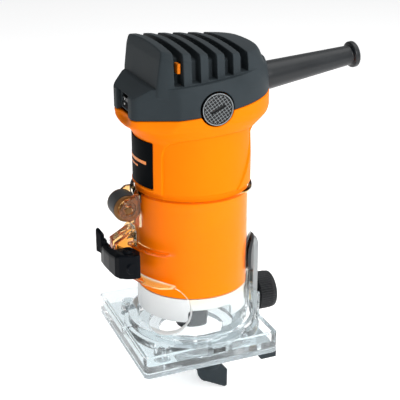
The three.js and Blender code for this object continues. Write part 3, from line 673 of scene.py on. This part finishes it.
def motor_housing(x, y, z):
    rho = np.hypot(x, y)
    outline = body_outline(x, y, z)
    body = common(outline, BODY_LOW - z, z - PART_Z - TILT * y, k=0.7)
    slide = common(rho - SLIDE_R, HOUSING_LOW - z, z - BODY_LOW - 2, k=0.6)
    shell = union(body, slide, k=0.4)
    hollow = np.maximum(outline + 3.0, 35 - z)
    arc_x = BODY_R * np.arctan2(x, -y)
    label = np.maximum(rect(arc_x, z, -17.2, 17.2, 97.6, 124, 1.2), BODY_R - 0.5 - rho)
    side = BODY_R * np.arctan2(y, np.abs(x))
    edge = [(-27.7, 90), (-27.7, 117)] + arc(-19.5, 117.6, 8.2, 180, 110, 6)
    edge += [(-15.5, 127.2), (-5, 128.4), (9.2, 129.3), (22.6, 129.1), (33, 127.5), (33, 118), (27.4, 109),
             (18, 98.4), (12, 93), (9, 90)]
    floor = BODY_R - 0.75 + 0.5 * np.clip((side + 0.5 * (112 - z)) / 26, 0, 1)
    grip = np.maximum(polygon(side, z, edge), floor - rho)
    scoop = (np.sqrt((x / 12.5) ** 2 + ((y + 41) / 4.2) ** 2 + ((z - 136.2) / 4.6) ** 2) - 1) * 4.2
    mouth = block(x, y, z, (-11, 11), (-46, -33), (137, 160), 0.4)
    shell = carve(shell, hollow, label, mouth, guard_hole(x, y, z), cap_wells(x, y, z), k=0.5)
    return carve(carve(shell, grip, k=0.7), scoop, k=1.0)


band_side = curve([(141, 37.2), (152, 37.2), (156, 36.9), (160, 35.6)])
band_rear = curve([(141, 42.2), (149, 41.6), (153, 40.9), (156.5, 40.0), (159, 38.9)])
block_side = curve([(156, 32.8), (169, 31.6), (172, 30.4), (174, 28.5)], 1.0)
block_rear = curve([(156, 37.4), (163, 36.0), (169, 33.2), (172, 31.0), (174, 27)], 1.2)
block_flat = curve([(156, 28.8), (169, 27.0), (172, 26.3), (175, 25.6)], 1.0)


def head_cap(x, y, z):
    tilted = z - TILT * y
    band = egg(x, y, band_side(tilted), band_rear(tilted), 41.5, 2.15)
    facet = FACET[0] * np.abs(x) + FACET[1] * y - 38.0
    chamfer = -0.604 * y + 0.797 * z - 141.6
    band = common(band, -FRONT_FLAT - y, facet, chamfer, tilted - LEDGE_Z, PART_Z + GAP - tilted, k=0.4)
    roof_z = HEAD_TOP - 0.2 - 0.055 * (y + 20) - 2.4 * (x / 31) ** 2
    top = egg(x, y, block_side(z), block_rear(z), 35.2, 3.2)
    top = common(top, -block_flat(z) - y, z - roof_z, 150 - z, k=0.8)
    head = union(band, top, k=0.4)
    for i in range(SLOT_COUNT):
        middle = SLOT_FIRST + i * SLOT_PITCH
        slot_low = LEDGE_Z + TILT * middle + 0.5
        slot = rounded(slab(y, middle - SLOT_W / 2, middle + SLOT_W / 2), slot_low - z, 0.3)
        head = carve(head, slot, k=0.4)
    core = egg(x, y, 26.0 - 0.06 * (z - 155), 27.5 - 0.06 * (z - 155), 24.4, 3)
    core = common(core, z - roof_z + 4.6, 150 - z, k=1.2)
    hollow = union(
        np.maximum(common(egg(x, y, 34.4, 39.2, 38.6, 2.15), -35.4 - y, facet + 3.4, chamfer + 3, k=0.8),
                   tilted - LEDGE_Z + 2.4),
        common(egg(x, y, 23.6, 25, 22, 3), z - roof_z + 6.6, k=0.8), k=0.5)
    hollow = np.maximum(hollow, PART_Z - 1 - tilted)
    mouth = block(x, y, z, (-9.3, 9.3), (-46, -30), (130, 148.4), 0.4)
    return carve(union(head, core, k=0.5), hollow, cap_wells(x, y, z), mouth, guard_hole(x, y, z), k=0.5)


def inner_tab(x, y, z):
    """End of the orange inner frame, seen in the first slot, in an orange painted darker as shade."""
    return block(x, y, z, (24.5, 29.4), (-18.9, -17.2), (162.4, 167.6), 0.4)


def label_plate(x, y, z):
    arc_x = BODY_R * np.arctan2(x, -y)
    outline = rect(arc_x, z, -16.8, 16.8, 98.0, 123.6, 1.0)
    return rounded(outline, slab(np.hypot(x, y), BODY_R - 0.45, BODY_R + 0.05), 0.15)


def label_mark(x, y, z):
    """Plain bars printed across the label."""
    arc_x = BODY_R * np.arctan2(x, -y)
    bars = np.minimum(rect(arc_x, z, -12, 12, 110.8, 112.6, 0.2), rect(arc_x, z, -12, 4, 108.0, 109.0, 0.2))
    return np.maximum(bars, slab(np.hypot(x, y), BODY_R - 0.2, BODY_R + 0.15))


def bearing_bracket(x, y, z):
    rho = np.hypot(x, y)
    profile = [(8.2, 33), (8.2, 31.6), (12.6, 31.6), (12.6, 24), (15, 21.5), (31.2, 21.5), (31.2, 35.7),
               (28.6, 35.7), (28.6, 44), (26.2, 44), (26.2, 37), (13.8, 37), (13.8, 44.6),
               (11.3, 44.6), (11.3, 33)]
    skirt = polygon(rho, z, profile)
    dish = polygon(rho, z, [(15.5, 19), (28.8, 19), (28.8, 30), (15.5, 33)])
    side = rounded(rect(y, z, -13, 12, 0, 28.7, 2.5), 26 - np.abs(x), 0.3)
    return carve(skirt, dish, side, k=0.8)


def cord_guard(x, y, z):
    rise = math.radians(GUARD_RISE)
    t = (y - GUARD_Y) * math.cos(rise) + (z - GUARD_Z) * math.sin(rise)
    across = np.hypot(x, (z - GUARD_Z) * math.cos(rise) - (y - GUARD_Y) * math.sin(rise))
    sleeve = common(across - (7.9 - 0.0455 * np.clip(t, 0, 52)), -11 - t, t - 53, k=0.5)
    flange = rounded(across - 7.5, slab(t, 52.4, 56.2), 1.3)
    inner = rounded(across - 9.5, slab(t, -12.9, -11), 0.4)
    return carve(union(sleeve, flange, inner, k=1.0), rounded(across - 4, 49 - t, 0.3), k=0.6)


def brush_cap(side):
    def field(x, y, z):
        out = side * x
        r = np.hypot(y, z - CAP_Z)
        u = (y * 0.82 + (z - CAP_Z) * 0.57) / 1.6
        v = (z - CAP_Z) * 0.86 / 1.6 - y * 0.5 / 1.6
        ridge = np.maximum(np.abs(2 * (u - np.floor(u)) - 1), np.abs(2 * (v - np.floor(v)) - 1))
        face = CAP_FACE - 0.75 + 0.45 * np.clip(ridge - 0.45, 0, 0.5) / 0.5
        rim = CAP_FACE - 0.65 + 0.6 * np.clip((r - CAP_R + 0.65) / 0.3, 0, 1)
        face = np.where(r > CAP_R - 0.9, rim, face)
        disc = common(r - CAP_R, out - face, 34.3 - out, k=0.3)
        lean = 0.42
        along = y * math.cos(lean) + (z - CAP_Z) * math.sin(lean)
        over = (z - CAP_Z) * math.cos(lean) - y * math.sin(lean)
        notch = np.maximum(rect(along, over, -4.2, 4.2, -0.75, 0.75, 0.5), CAP_FACE - 1.5 - out)
        stem = rod(y, z, out, 2.9, 26, 35, 0.3, (0, CAP_Z))
        return union(carve(disc, notch, k=0.2), stem, k=0.3)
    return field


def switch_frame(x, y, z):
    frame_box = block(x, y, z, (-8.9, 8.9), (-36.6, -22), (138.2, 148), 0.6)
    return carve(frame_box, block(x, y, z, (-5.4, 5.4), (-40, -30), (139.6, 146.8), 0.3), k=0.4)


def rocker(x, y, z):
    side = [(-37.7, 140.9), (-36.7, 143.2), (-37.1, 145.7), (-33, 145.6), (-31.5, 143.2), (-33, 141)]
    return prism(y, z, x, side, -5.0, 5.0, 0.35)


def rocker_marks(x, y, z):
    """A bar for on and a ring for off."""
    bar = block(x, y, z, (-0.3, 0.3), (-37.3, -36.8), (144.2, 145.3), 0.08)
    ring = np.maximum(slab(np.hypot(x, z - 141.9), 0.35, 0.62), slab(y, -37.45, -36.95))
    return np.minimum(bar, ring)


# ---- spindle ----
def collet_nut(x, y, z):
    hexes = [np.abs(x * math.cos(a) + y * math.sin(a)) - 9.5 for a in np.radians([0, 60, 120])]
    r = np.hypot(x, y)
    corners = r - 10.8 + np.maximum(z - 21, 0) * 1.2 + np.maximum(9.5 - z, 0) * 1.0
    nut = common(*hexes, corners, z - 22, 7.2 - z, k=0.5)
    collar = rounded(r - 9.2, slab(z, 5.1, 9), 0.5)
    body = union(nut, collar, k=0.3)
    return carve(body, np.maximum(r - 7.5, 12.2 - z), np.maximum(r - 5, 11.2 - z), r - 3.5, k=0.3)


# ---- wheel and lever ----
def depth_wheel(x, y, z):
    """Rubber tyre with fine ribs."""
    r, turn = np.hypot(y - WHEEL_Y, z - WHEEL_Z), np.arctan2(z - WHEEL_Z, y - WHEEL_Y)
    ribs = 0.1 * np.cos(48 * turn)
    return rounded(np.maximum(r - WHEEL_R + 0.12 - ribs, 5.7 - r), slab(x, -5.3, 5.3), 0.3)


def wheel_hub(x, y, z):
    r = np.hypot(y - WHEEL_Y, z - WHEEL_Z)
    flanges = rounded(r - WHEEL_R + 0.1, slab(np.abs(x), 5.4, 6.2), 0.3)
    disc = union(rounded(r - 5.75, slab(x, -6.0, 6.0), 0.3), flanges)
    groove = rounded(slab(r, 3.0, 4.6), 5.2 - np.abs(x), 0.2)
    return union(carve(disc, groove, k=0.3), rod(y, z, x, 1.9, -9.4, 9.4, 0.4, (WHEEL_Y, WHEEL_Z)), k=0.4)


def clamp_lever(x, y, z):
    top = LEVER_LOW + 13.9
    hub = rod(x, y, z, 6.3, LEVER_LOW, top, 0.9, (PIN_X, PIN_Y))
    boss = rod(x, y, z, 3.2, LEVER_LOW + 1, top + 1.6, 0.8, (PIN_X, PIN_Y))
    plan = [(PIN_X + 7.5, PIN_Y + 4.5), (PIN_X + 7.5, PIN_Y + 2), (15, -47.9), (11.8, -49.4), (4, -50.4),
            (-4, -50.9), (-9.7, -50.9), (-10, -48.6), (-4, -47), (PIN_X - 6, -47),
            (PIN_X - 6, PIN_Y - 2.4), (PIN_X + 1, PIN_Y + 6.3)]
    handle = prism(x, y, z, plan, LEVER_LOW, top, 0.8)
    slope = 0.728 * (z - top) - 0.686 * (y + 47.4)
    bite = np.hypot(x + 1.5, z - top - 5.2) - 6.6
    handle = carve(common(handle, slope, k=1.2), np.maximum(bite, y + 44), k=1.0)
    ridge = block(x, y, z, (-9.8, -6.4), (-49.6, -47.8), (top - 3, top + 0.9), 0.7)
    tab_plan = [(-8.4, -50.9), (-12.2, -52.7), (-13.5, -51), (-8.6, -48.7)]
    tab = prism(x, y, z, tab_plan, LEVER_LOW + 6, top + 6.5, 0.7)
    tab = common(tab, 0.83 * z + 0.56 * x - 0.83 * (top + 6.3) + 0.56 * 11.4, k=1.6)
    knuckle = np.hypot(y - PIN_Y - 0.6, z - LEVER_LOW - 6.2)
    knuckle = rounded(knuckle - 3.4, slab(x, 10, PIN_X + 7.0), 0.8)
    lever = union(union(hub, boss, k=0.4), handle, tab, ridge, knuckle, k=0.8)
    slot = block(x, y, z, (PIN_X - 8, PIN_X + 4.2), (PIN_Y - 4.2, PIN_Y + 8), (BOLT_Z - 3, BOLT_Z + 3), 0.2)
    return carve(lever, slot, np.hypot(x - PIN_X, y - PIN_Y) - 1.8, k=0.4)


# ---- roller guide ----
def guide_bar(x, y, z):
    top = BAR_HIGH[2]
    half = BAR_HIGH[0]
    front = rect(x, z, -half, half, BAR_LOW[2], top, 4)
    upright = rounded(front, slab(y, BAR_HIGH[1] - BAR_T, BAR_HIGH[1]), 0.5)
    foot = block(x, y, z, (-half, half), (BAR_LOW[1], BAR_HIGH[1]), (BAR_LOW[2], BAR_LOW[2] + 2.6), 0.5)
    slot = rect(x, z, -2.9, 2.9, KNOB_Z - 6, top - 8, 2.8)
    bar = union(upright, foot, k=1.5)
    return carve(bar, np.maximum(slot, 30 - y), np.hypot(x, y - WING_Y) - 2.4, k=0.4)


def guide_pad(x, y, z):
    low, high = span("guide_pad")
    arch = rect(x, z, low[0], high[0], low[2], high[2], 7)
    edges = rounded(arch, slab(y, 20, high[1]), 0.4)
    edges = common(edges, slab(np.hypot(x, y), TUBE_OUT + GAP, PAD_R), k=0.3)
    inset = block(x, y, z, (-8.4, 8.4), (high[1] - 1.1, high[1]), (low[2] + 2, high[2] - 4), 0.2)
    return union(edges, inset, k=0.2)


def guide_knob(x, y, z):
    r, turn = np.hypot(x, z - KNOB_Z), np.arctan2(z - KNOB_Z, x)
    near, far = BAR_HIGH[1] + 2.7, KNOB_HIGH[1]
    flute = 0.3 * np.cos(48 * turn) * np.clip((far - 1.8 - y) / 1.0, 0, 1)
    grip = rounded(r - 11.0 - flute, slab(y, near, far), 0.9)
    dish = np.hypot(r * 0.16, y - far - 0.2) - 0.9
    stem = rod(x, z, y, 2.2, KNOB_LOW[1], near + 1, 0.3, (0, KNOB_Z))
    return union(carve(grip, dish, k=0.6), stem, k=0.5)


def knob_washer(x, y, z):
    low, high = span("knob_washer")
    r = np.hypot(x, z - KNOB_Z)
    return rounded(slab(r, 2.6, 7.6), slab(y, low[1], high[1]), 0.3)


def guide_arm(x, y, z):
    low, top = ARM_HIGH[2] - 3, ARM_HIGH[2]
    far = ARM_HIGH[1]
    plate = rounded(rect(x, y, -9, 9, ARM_LOW[1], far - 2, 6), slab(z, low, top), 0.4)
    lip = [(far - 14.2, top), (far - 10.2, ARM_LOW[2]), (far, ARM_LOW[2]), (far, top)]
    heel = prism(y, z, x, lip, -11, 11, 0.6)
    slot = rect(x, y, -2.4, 2.4, WING_Y - 6.5, WING_Y + 6.5, 2.3)
    return carve(union(plate, heel, k=0.8), slot, np.hypot(x, y - ROLLER_Y) - 2, k=0.4)


def guide_wing(x, y, z):
    low = WING_LOW[2]
    edge = [(2.7, low + 17.8), (4.1, low + 13.2)] + arc(11, low + 13.2, 6.9, 180, 256, 7)
    edge += [(19.5, low + 1.1), (21.4, low + 0.1), (23.1, low + 0.6), (23.2, low + 11.9), (18.4, low + 17.8)]
    blade = prism(y, z, x, edge, -1.5, 1.5, 0.55)
    boss = rod(x, y, z, 5.5, low + 16.2, ARM_LOW[2] + 3.7, 0.8, (0, WING_Y))
    boss = np.maximum(boss, z - (ARM_HIGH[2] - 3 - GAP))
    stem = rod(x, y, z, 2.1, low + 16, WING_HIGH[2], 0.3, (0, WING_Y))
    return union(blade, boss, stem, k=1.0)


def guide_roller(x, y, z):
    low, high = span("guide_roller")
    return rounded(slab(np.hypot(x, y - ROLLER_Y), 2.1, 6.0), slab(z, low[2], high[2]), 0.5)


# ---- build ----
piece("clear_base", base_body, ["base_body"], "base", 0.75, LOOKS["clear"], 0.45)
piece("sole", sole_plate, ["sole_plate"], "base", 0.7, LOOKS["smoke"], 0.35)
for number, place in enumerate(SCREWS, 1):
    node = f"sole_screw_{number}"
    piece(f"{node}_turned", sole_screw(*place), [node], "base", 0.22, LOOKS["steel"], 0.5)
piece("housing_shell", motor_housing, ["motor_housing"], "motor", 0.62, LOOKS["orange"], 0.45)
piece("ribbed_head", head_cap, ["head_cap"], "motor", 0.5, LOOKS["black"], 0.5)
piece("inner_frame_tab", inner_tab, [], "motor", 0.3, LOOKS["painted_shade_orange"],
      room=((24, -20, 161.8), (30, -16, 168.2)))
piece("label_panel", label_plate, ["label_plate"], "motor", 0.3, LOOKS["label"], 0.4)
piece("label_bars", label_mark, [], "motor", 0.18, LOOKS["mark"], 0.6,
      room=((-12.5, -33, 107.5), (12.5, -29.5, 113.5)))
piece("cast_bracket", bearing_bracket, ["bearing_bracket"], "motor", 0.5, LOOKS["bracket"], 0.4)
piece("cord_sleeve", cord_guard, ["cord_guard"], "motor", 0.45, LOOKS["rubber"], 0.6)
piece("brush_cap_right_knurled", brush_cap(1), ["brush_cap_right"], "brush_cap_right", 0.2, LOOKS["cap"], 0.6)
piece("brush_cap_left_knurled", brush_cap(-1), ["brush_cap_left"], "brush_cap_left", 0.2, LOOKS["cap"], 0.6)
piece("switch_surround", switch_frame, ["switch_frame"], "motor", 0.4, LOOKS["black"], 0.5)
piece("rocker_key", rocker, ["rocker"], "rocker", 0.25, LOOKS["gloss"], 0.5)
piece("rocker_signs", rocker_marks, [], "rocker", 0.1, LOOKS["white"], 0.6,
      room=((-1, -37.6, 141), (1, -36.6, 145.6)))
piece("spindle_nut", collet_nut, ["collet_nut"], "collet_nut", 0.35, LOOKS["dark"], 0.6)
piece("thumb_wheel", depth_wheel, ["depth_wheel"], "depth_wheel", 0.3, LOOKS["rubber"], 0.6)
piece("thumb_wheel_hub", wheel_hub, [], "depth_wheel", 0.3, LOOKS["hub"], 0.6, room=span("depth_wheel"))
piece("quick_lever", clamp_lever, ["clamp_lever"], "clamp_lever", 0.4, LOOKS["gloss"], 0.7)
piece("slotted_bar", guide_bar, ["guide_bar"], "guide", 0.5, LOOKS["bar"], 0.4)
piece("saddle_pad", guide_pad, ["guide_pad"], "base", 0.35, LOOKS["rubber"], 0.5)
piece("fluted_knob", guide_knob, ["guide_knob"], "guide_knob", 0.3, LOOKS["knob"], 0.6)
piece("washer", knob_washer, ["knob_washer"], "guide_knob", 0.3, LOOKS["steel"], 0.5)
piece("sliding_arm", guide_arm, ["guide_arm"], "guide_arm", 0.5, LOOKS["black"], 0.4)
piece("wing_screw", guide_wing, ["guide_wing"], "guide_wing", 0.4, LOOKS["black"], 0.6)
piece("edge_roller", guide_roller, ["guide_roller"], "guide_roller", 0.3, LOOKS["steel"], 0.5)

slots_of = {part["node"]: part["material_slot"] for part in frame["record"]["subparts"]}
for node, thing in frame["nodes"].items():
    if thing.hide_render:
        continue
    thing.data.materials.clear()
    thing.data.materials.append(BY_SLOT[slots_of[node]])


# ---- stage ----
def floor():
    look, nodes, links, bsdf = shader("pale_floor", "none")
    bsdf.inputs["Base Color"].default_value = (1.0, 1.0, 1.0, 1)
    bsdf.inputs["Roughness"].default_value = 0.9
    bsdf.inputs["Specular IOR Level"].default_value = 0.0
    bsdf.inputs["Emission Color"].default_value = (1, 1, 1, 1)
    bsdf.inputs["Emission Strength"].default_value = 0.45
    bpy.ops.mesh.primitive_plane_add(size=12, location=(0, 0, cad_low.z - 0.0005))
    plane = bpy.context.object
    plane.name = "floor"
    plane.data.materials.append(look)


def softbox(name, place, target, size, power):
    lamp = bpy.data.lights.new(name, "AREA")
    lamp.shape = "RECTANGLE"
    lamp.size, lamp.size_y = size
    lamp.energy = power
    light = bpy.data.objects.new(name, lamp)
    light.location = place
    aim = Vector(target) - Vector(place)
    light.rotation_euler = aim.to_track_quat("-Z", "Y").to_euler()
    bpy.context.collection.objects.link(light)


def studio():
    world = bpy.data.worlds.new("studio")
    bpy.context.scene.world = world
    world.use_nodes = True
    nodes, links = world.node_tree.nodes, world.node_tree.links
    where = nodes.new("ShaderNodeTexCoord")
    split = nodes.new("ShaderNodeSeparateXYZ")
    sky = nodes.new("ShaderNodeValToRGB")
    sky.color_ramp.elements[0].position = 0.45
    sky.color_ramp.elements[0].color = (0.8, 0.81, 0.82, 1)
    sky.color_ramp.elements[1].position = 0.9
    sky.color_ramp.elements[1].color = (1, 1, 1, 1)
    links.new(where.outputs["Generated"], split.inputs["Vector"])
    links.new(split.outputs["Z"], sky.inputs["Fac"])
    front = nodes.new("ShaderNodeMapRange")
    front.inputs["From Min"].default_value = -0.95
    front.inputs["From Max"].default_value = 0.4
    front.inputs["To Min"].default_value = 0.05
    links.new(split.outputs["Y"], front.inputs["Value"])
    shade = nodes.new("ShaderNodeMix")
    shade.data_type = "RGBA"
    shade.inputs["A"].default_value = (0, 0, 0, 1)
    links.new(front.outputs["Result"], shade.inputs["Factor"])
    links.new(sky.outputs["Color"], shade.inputs["B"])
    links.new(shade.outputs["Result"], nodes["Background"].inputs["Color"])
    nodes["Background"].inputs["Strength"].default_value = 0.6
    middle = (0, 0, 0.06)
    softbox("key", (1.05, 0.05, 0.6), middle, (0.6, 0.7), 9)
    softbox("fill", (0.45, 1.0, 0.5), middle, (0.6, 0.8), 3)
    softbox("overhead", (0.1, 0.35, 1.2), middle, (1.0, 1.0), 6)


def camera():
    lens = bpy.data.cameras.new("camera")
    lens.lens = 82.5
    lens.sensor_width = 36
    lens.shift_x = 0.005
    view = bpy.data.objects.new("camera", lens)
    view.location = (0.4454, -0.1790, 0.269 + SOLE)
    view.rotation_euler = (math.radians(90 - 21.25), 0, math.radians(67.64))
    bpy.context.collection.objects.link(view)
    bpy.context.scene.camera = view


floor()
studio()
camera()
bpy.context.scene.view_settings.view_transform = "Standard"
